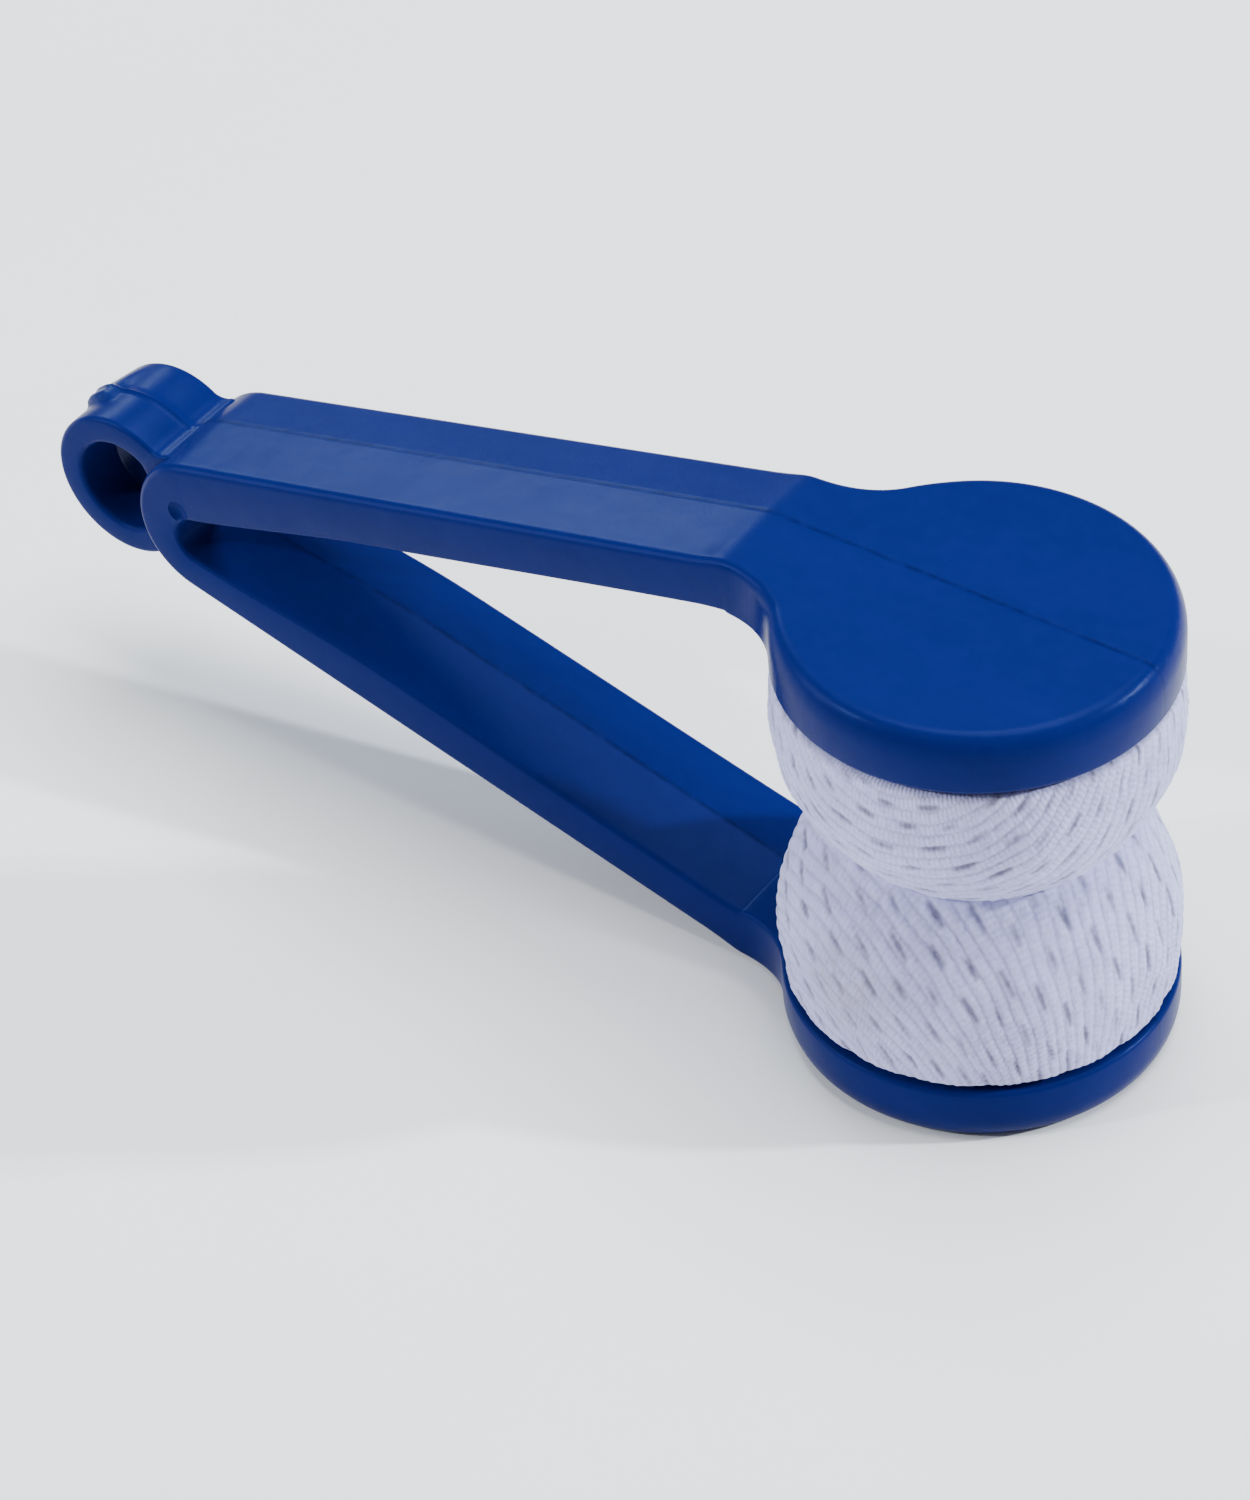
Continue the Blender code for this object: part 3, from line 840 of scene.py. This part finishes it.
def grid_mesh(name, grid):
    """A closed mesh from a grid whose columns go round and whose end rows shrink to a point."""
    rows, columns, _ = grid.shape
    top = grid[0].mean(axis=0)
    bottom = grid[-1].mean(axis=0)
    verts = np.concatenate([grid.reshape(-1, 3), [top], [bottom]])
    index, right = grid_index(rows, columns)
    quads = np.stack([index[:-1], index[1:], right[1:], right[:-1]], axis=2).reshape(-1, 4)
    caps = [(rows * columns, int(i), int(j)) for i, j in zip(index[0], right[0])]
    caps += [(rows * columns + 1, int(j), int(i)) for i, j in zip(index[-1], right[-1])]
    mesh = bpy.data.meshes.new(name)
    mesh.from_pydata(verts.tolist(), [], quads.tolist() + caps)
    shape = bmesh.new()
    shape.from_mesh(mesh)
    bmesh.ops.recalc_face_normals(shape, faces=shape.faces)
    shape.to_mesh(mesh)
    shape.free()
    mesh.shade_smooth()
    return mesh


def store_cloth(mesh, along, wale, gap):
    """Keeps the length along the wales, their count and the gaps, for the material to read."""
    values = np.zeros((len(mesh.vertices), 3))
    values[: along.size] = np.stack([along, wale, gap], axis=-1).reshape(-1, 3)
    attribute = mesh.attributes.new("cloth", "FLOAT_VECTOR", "POINT")
    attribute.data.foreach_set("vector", values.astype(np.float32).ravel())


def foam_core(half):
    """The foam inside a pad: a puck with a rounded top and slightly uneven sides."""
    side = -1.0 if half == "lower" else 1.0
    azimuth = round_angles(CORE_COLUMNS)
    side_reach = BACKING_RADIUS - CORE_INSET
    foot = CORE_BOTTOM + CORE_FOOT
    shoulder = CORE_TOP - CORE_HEADROOM - CORE_ROUNDING
    profile = [(TIP_RADIUS, CORE_BOTTOM), (side_reach - CORE_INSET, CORE_BOTTOM)]
    for share in np.linspace(0.0, 1.0, 6):
        belly = CORE_INSET * math.sin(math.pi * share)
        profile.append((side_reach + belly, foot + (shoulder - foot) * share))
    for turn in np.linspace(0.0, math.pi / 2, 8)[1:]:
        inset = CORE_ROUNDING * (1 - math.cos(turn))
        profile.append((side_reach - inset, shoulder + CORE_ROUNDING * math.sin(turn)))
    profile.append((TIP_RADIUS, CORE_TOP - CORE_HEADROOM))
    rows = []
    for number, (radius, height) in enumerate(profile):
        wobble = 0.05 * np.sin(azimuth * 7 + number) + 0.04 * np.sin(azimuth * 13 - 2 * number)
        reach = radius + (wobble if radius > 6 else 0.0 * azimuth)
        level = MIDDLE + side * (MIDDLE - height) + 0.0 * azimuth
        rows.append(round_points(reach, azimuth, level))
    name = half + "_core_skin"
    return linked_object(name, grid_mesh(name, np.array(rows) * MM))


def build_pads():
    pads = {}
    for half in ("lower", "upper"):
        pads[half + "_cover"] = pad_cover(half)
        pads[half + "_core"] = foam_core(half)
    return pads


def hang_pads(pads):
    """Bakes each pad's cover and core into place and hides the CAD's own pad pieces."""
    for side, half in ((-1.0, "lower"), (1.0, "upper")):
        for piece in ("cover", "core"):
            obj = pads[half + "_" + piece]
            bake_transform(obj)
            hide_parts(half + "_pad_" + piece)


# ===== Materials =====


class Graph:
    """A material's node tree, with a short call for each node used here."""

    def __init__(self, name):
        self.material = bpy.data.materials.new(name)
        self.material.use_nodes = True
        self.tree = self.material.node_tree
        self.shader = self.tree.nodes["Principled BSDF"]

    def node(self, kind, inputs, **settings):
        """A new node, its settings made before its inputs are given."""
        node = self.tree.nodes.new(kind)
        for key, value in settings.items():
            setattr(node, key, value)
        for key, value in inputs.items():
            self.put(value, node.inputs[key])
        return node

    def put(self, value, socket):
        """Gives a socket a number, a colour, a vector or another node's output."""
        if isinstance(value, bpy.types.NodeSocket):
            self.tree.links.new(value, socket)
        elif socket.type == "RGBA":
            socket.default_value = (*value, 1.0)
        else:
            socket.default_value = value

    def object_place(self):
        return self.node("ShaderNodeTexCoord", {}).outputs["Object"]

    def attribute(self, name):
        return self.node("ShaderNodeAttribute", {}, attribute_name=name).outputs["Vector"]

    def stretched(self, place, scale):
        return self.node("ShaderNodeMapping", {"Scale": scale, "Vector": place}).outputs["Vector"]

    def parts(self, vector):
        separate = self.node("ShaderNodeSeparateXYZ", {0: vector})
        return [separate.outputs[axis] for axis in "XYZ"]

    def distance(self, place, point):
        inputs = {0: place, 1: point}
        return self.node("ShaderNodeVectorMath", inputs, operation="DISTANCE").outputs["Value"]

    def cells(self, place, scale):
        inputs = {"Scale": scale, "Vector": place}
        return self.node("ShaderNodeTexVoronoi", inputs).outputs["Distance"]

    def noise(self, place, scale, detail, roughness):
        inputs = {"Scale": scale, "Detail": detail, "Roughness": roughness, "Vector": place}
        return self.node("ShaderNodeTexNoise", inputs).outputs["Fac"]

    def ramp(self, value, stops):
        ramp = self.node("ShaderNodeValToRGB", {"Fac": value})
        elements = ramp.color_ramp.elements
        while len(elements) < len(stops):
            elements.new(0.5)
        for element, (place, colour) in zip(elements, stops):
            element.position = place
            element.color = (*colour, 1.0)
        return ramp.outputs["Color"]

    def spread(self, value, low, high, to_low, to_high):
        inputs = {"From Min": low, "From Max": high, "To Min": to_low, "To Max": to_high}
        return self.node("ShaderNodeMapRange", {"Value": value, **inputs}).outputs["Result"]

    def mix(self, share, first, second):
        """Between two colours, which the Mix node has as its sockets 6 and 7 and its output 2."""
        inputs = {0: share, 6: first, 7: second}
        return self.node("ShaderNodeMix", inputs, data_type="RGBA").outputs[2]

    def maths(self, operation, first, second=0.0):
        return self.node("ShaderNodeMath", {0: first, 1: second}, operation=operation).outputs[0]

    def bump(self, height, strength, distance, under=None):
        inputs = {"Strength": strength, "Distance": distance, "Height": height}
        if under is not None:
            inputs["Normal"] = under
        return self.node("ShaderNodeBump", inputs).outputs["Normal"]

    def feed(self, socket, value):
        """Gives one of the shader's own sockets a value."""
        self.put(value, self.shader.inputs[socket])


def gate_point():
    """The middle of the gate stub's torn face, in metres."""
    reach = LOOP_RADIUS + GATE_HEIGHT / 2
    x = LOOP_CENTRE_X + reach * math.cos(GATE_ANGLE)
    return Vector((x, 0.0, MIDDLE + reach * math.sin(GATE_ANGLE))) * MM


def plastic_material():
    """Blue polypropylene: waxy, half gloss, with faint flow marks, rubbed patches, fine grain and
    painted shade along the parting line.
    """
    g = Graph("blue_moulded_plastic")
    place = g.object_place()
    flow = g.noise(g.stretched(place, (90.0, 260.0, 260.0)), 1.0, 4.0, 0.55)
    colour = g.ramp(flow, ((0.30, (0.0030, 0.0078, 0.090)), (0.70, (0.0036, 0.0088, 0.102))))
    cloud = g.noise(place, 900.0, 4.0, 0.6)
    colour = g.mix(g.spread(cloud, 0.45, 0.75, 0.0, 0.30), colour, (0.0045, 0.0120, 0.118))
    along, across, _ = g.parts(place)
    # painted shade: a dark, broken line along the parting line's groove, faded out on the loop
    away = g.maths("ABSOLUTE", g.maths("SUBTRACT", across, PARTING_Y * MM))
    seam_painted_shade = g.spread(away, SEAM_SHADE[0] * MM, SEAM_SHADE[1] * MM, 1.0, 0.0)
    broken = g.noise(place, 1100.0, 3.0, 0.6)
    seam_painted_shade = g.maths("MULTIPLY", seam_painted_shade, g.spread(broken, 0.35, 0.60, 0.10, 0.55))
    past_loop = g.spread(along, SEAM_FADE_X[0] * MM, SEAM_FADE_X[1] * MM, 0.0, 1.0)
    seam_painted_shade = g.maths("MULTIPLY", seam_painted_shade, past_loop)
    colour = g.mix(seam_painted_shade, colour, (0.0002, 0.0022, 0.035))
    to_gate = g.distance(place, gate_point())
    torn = g.spread(to_gate, GATE_TORN[0] * MM, GATE_TORN[1] * MM, 1.0, 0.0)
    rough = g.noise(place, 1500.0, 4.0, 0.7)
    torn = g.maths("MULTIPLY", torn, g.spread(rough, 0.40, 0.65, 0.0, 0.55))
    colour = g.mix(torn, colour, (0.040, 0.075, 0.175))
    g.feed("Base Color", colour)
    rub = g.noise(g.stretched(place, (300.0, 1200.0, 1200.0)), 1.0, 3.0, 0.6)
    g.feed("Roughness", g.spread(rub, 0.2, 0.8, 0.27, 0.32))
    grain = g.noise(place, 4500.0, 2.0, 0.5)
    waves = g.noise(place, 260.0, 2.0, 0.5)
    g.feed("Normal", g.bump(waves, 0.5, 0.00012, g.bump(grain, 0.35, 0.00002)))
    g.feed("IOR", 1.49)
    g.feed("Specular IOR Level", 0.06)
    g.feed("Specular Tint", (0.31, 0.50, 1.0))
    return g.material


def microfibre_material():
    """White knitted microfibre with a bluish cast: soft sheen, a faint warm stain, and painted shade
    in the gaps, furrows and stitch dips and low on the lower pad's front.
    """
    g = Graph("white_microfibre")
    place = g.object_place()
    cloth = g.attribute("cloth")
    along, wale, gap = g.parts(cloth)
    wool = g.noise(place, 1400.0, 5.0, 0.65)
    colour = g.ramp(wool, ((0.25, (0.510, 0.505, 0.860)), (0.75, (0.650, 0.640, 0.990))))
    streak = g.noise(g.stretched(cloth, (1.2, 6.0, 0.0)), 1.0, 4.0, 0.6)
    colour = g.mix(g.spread(streak, 0.35, 0.7, 0.0, 0.35), colour, (0.640, 0.645, 0.990))
    cloud = g.noise(place, 300.0, 3.0, 0.6)
    colour = g.mix(g.spread(cloud, 0.45, 0.75, 0.0, 0.35), colour, (0.300, 0.295, 0.500))
    fleck = g.noise(g.stretched(cloth, (1.5, 3.2, 0.0)), 1.0, 3.0, 0.7)
    colour = g.mix(g.spread(fleck, 0.50, 0.72, 0.0, 0.45), colour, (0.260, 0.255, 0.430))
    # painted shade: darker in patches along the furrows between the wales
    furrow_painted_shade = g.maths("COSINE", g.maths("MULTIPLY", wale, 2 * math.pi))
    patchy = g.noise(place, 420.0, 3.0, 0.6)
    furrow_painted_shade = g.maths("MULTIPLY", g.spread(furrow_painted_shade, 0.1, 1.0, 0.0, 1.0), patchy)
    colour = g.mix(g.spread(furrow_painted_shade, 0.1, 0.7, 0.0, 0.38), colour, (0.180, 0.175, 0.340))
    turn = g.maths("MULTIPLY", g.maths("FLOOR", wale), math.pi)
    stitch = g.maths("COSINE", g.maths("ADD", g.maths("MULTIPLY", along, 4 * math.pi / COURSE), turn))
    # painted shade in the dips between the stitches along each wale
    colour = g.mix(g.spread(stitch, 0.2, -1.0, 0.0, 0.11), colour, (0.220, 0.215, 0.400))
    # painted shade in the short gaps between the yarns
    colour = g.mix(g.spread(gap, 0.02, 0.65, 0.0, 0.80), colour, (0.120, 0.110, 0.185))
    stain = g.noise(place, 130.0, 2.0, 0.5)
    colour = g.mix(g.spread(stain, 0.60, 0.75, 0.0, 0.30), colour, (0.440, 0.400, 0.470))
    # painted shade: darker and warmer, in blotches, round a point low on the lower pad's front
    to_painted_shade = g.distance(place, Vector(PAINTED_SHADE_PLACE) * MM)
    painted_shade = g.spread(to_painted_shade, 0.25 * PAINTED_SHADE_REACH * MM, PAINTED_SHADE_REACH * MM, 1.0, 0.0)
    painted_shade = g.maths("MULTIPLY", painted_shade, g.spread(wool, 0.30, 0.62, 0.05, 0.60))
    colour = g.mix(painted_shade, colour, (0.300, 0.265, 0.330))
    g.feed("Base Color", colour)
    g.feed("Roughness", 0.92)
    g.feed("Specular IOR Level", 0.25)
    g.feed("Sheen Weight", 0.45)
    g.feed("Sheen Roughness", 0.45)
    g.feed("Sheen Tint", (0.70, 0.76, 1.0))
    fibres = g.noise(place, 9000.0, 3.0, 0.7)
    strands = g.noise(g.stretched(cloth, (3.0, 14.0, 0.0)), 1.0, 4.0, 0.65)
    normal = g.bump(fibres, 0.6, 0.00004)
    normal = g.bump(strands, 0.6, 0.00009, normal)
    normal = g.bump(stitch, 0.5, 0.00003, normal)
    g.feed("Normal", normal)
    return g.material


def foam_material():
    """Open-cell foam: pale grey with small dark cells."""
    g = Graph("pad_foam")
    cells = g.cells(g.object_place(), 2600.0)
    g.feed("Base Color", g.ramp(cells, ((0.1, (0.16, 0.16, 0.18)), (0.6, (0.50, 0.50, 0.54)))))
    g.feed("Roughness", 0.95)
    g.feed("Normal", g.bump(cells, 0.8, 0.0001))
    return g.material


def board_material():
    """The pad's stiff backing: pale pressed board with fibres."""
    g = Graph("pad_backing_board")
    fibres = g.noise(g.stretched(g.object_place(), (500.0, 3000.0, 3000.0)), 1.0, 5.0, 0.7)
    g.feed("Base Color", g.ramp(fibres, ((0.3, (0.60, 0.59, 0.55)), (0.7, (0.78, 0.77, 0.74)))))
    g.feed("Roughness", g.spread(fibres, 0.3, 0.7, 0.55, 0.75))
    g.feed("Normal", g.bump(fibres, 0.4, 0.00005))
    return g.material


def glue_material():
    """Hardened adhesive: amber, glossy, with small bubbles."""
    g = Graph("pad_adhesive")
    bubbles = g.cells(g.object_place(), 1500.0)
    g.feed("Base Color", g.ramp(bubbles, ((0.1, (0.78, 0.68, 0.45)), (0.5, (0.62, 0.50, 0.28)))))
    g.feed("Roughness", g.spread(bubbles, 0.0, 0.6, 0.2, 0.4))
    g.feed("Normal", g.bump(bubbles, 0.3, 0.00005))
    return g.material


def floor_material():
    """A matt, very pale studio floor with the faintest unevenness."""
    g = Graph("studio_floor")
    paper = g.noise(g.object_place(), 40.0, 4.0, 0.6)
    g.feed("Base Color", g.ramp(paper, ((0.3, (0.92, 0.925, 0.93)), (0.7, (0.94, 0.945, 0.95)))))
    g.feed("Roughness", 0.9)
    g.feed("Specular IOR Level", 0.1)
    return g.material


def dress(objects, material):
    for obj in objects:
        if obj.material_slots:
            obj.material_slots[0].material = material
        else:
            obj.data.materials.append(material)


# ===== Studio =====

EYE = Vector((0.1299, -0.1990, 0.2302))
LOOK = Vector((-0.4595, 0.5920, -0.6621))
UP = Vector((-0.3514, 0.5635, 0.7477))
LENS = 138.4
AIM = (-0.02, 0.0, 0.015)  # where the lights point


def add_camera():
    """The camera stands where the photographer's did: above, in front and to the heads' side."""
    data = bpy.data.cameras.new("photo_camera")
    data.lens = LENS
    data.sensor_width = 36.0
    data.clip_start = 0.01
    data.clip_end = 20.0
    camera = linked_object("photo_camera", data)
    back = -LOOK.normalized()
    right = UP.cross(back).normalized()
    up = back.cross(right)
    turn = Matrix((right, up, back)).transposed().to_4x4()
    camera.matrix_world = Matrix.Translation(EYE) @ turn
    bpy.context.scene.camera = camera


def add_floor():
    """A wide flat floor under the object."""
    shape = bmesh.new()
    bmesh.ops.create_grid(shape, x_segments=8, y_segments=8, size=6.0)
    floor = mesh_object("studio_floor", shape)
    dress([floor], floor_material())


def add_area(name, place, size, power, colour=(1.0, 1.0, 1.0)):
    data = bpy.data.lights.new(name, "AREA")
    data.shape = "RECTANGLE"
    data.size, data.size_y = size
    data.energy = power
    data.color = colour
    light = linked_object(name, data)
    light.location = place
    light.rotation_mode = "QUATERNION"
    light.rotation_quaternion = (Vector(AIM) - Vector(place)).to_track_quat("-Z", "Y")


def add_studio():
    world = bpy.data.worlds.new("studio")
    world.use_nodes = True
    background = world.node_tree.nodes["Background"]
    background.inputs["Color"].default_value = (0.90, 0.94, 1.0, 1.0)
    background.inputs["Strength"].default_value = 0.18
    bpy.context.scene.world = world
    add_area("overhead", (0.02, 0.16, 0.76), (0.7, 0.5), 10.4)
    add_area("back_left", (-0.65, 0.40, 0.41), (0.26, 0.20), 2.1, (0.65, 0.88, 1.0))
    add_area("left_rim", (-0.38, -0.44, 0.40), (0.03, 0.03), 2.0, (0.85, 0.92, 1.0))
    add_area("right_rim", (0.46, 0.30, 0.30), (0.03, 0.03), 5.0, (0.85, 0.92, 1.0))
    add_area("left_fill", (-0.54, -0.34, 0.30), (0.3, 0.3), 2.0)


# ===== Scene =====

skins = build_moulding()
pads = build_pads()
dress(skins.values(), plastic_material())
dress([pads["lower_cover"], pads["upper_cover"]], microfibre_material())
dress([pads["lower_core"], pads["upper_core"]], foam_material())
dress([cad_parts[half + "_pad_backing"] for half in ("lower", "upper")], board_material())
dress([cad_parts[half + "_pad_glue"] for half in ("lower", "upper")], glue_material())
hang_moulding(skins)
hang_pads(pads)
add_camera()
add_floor()
add_studio()
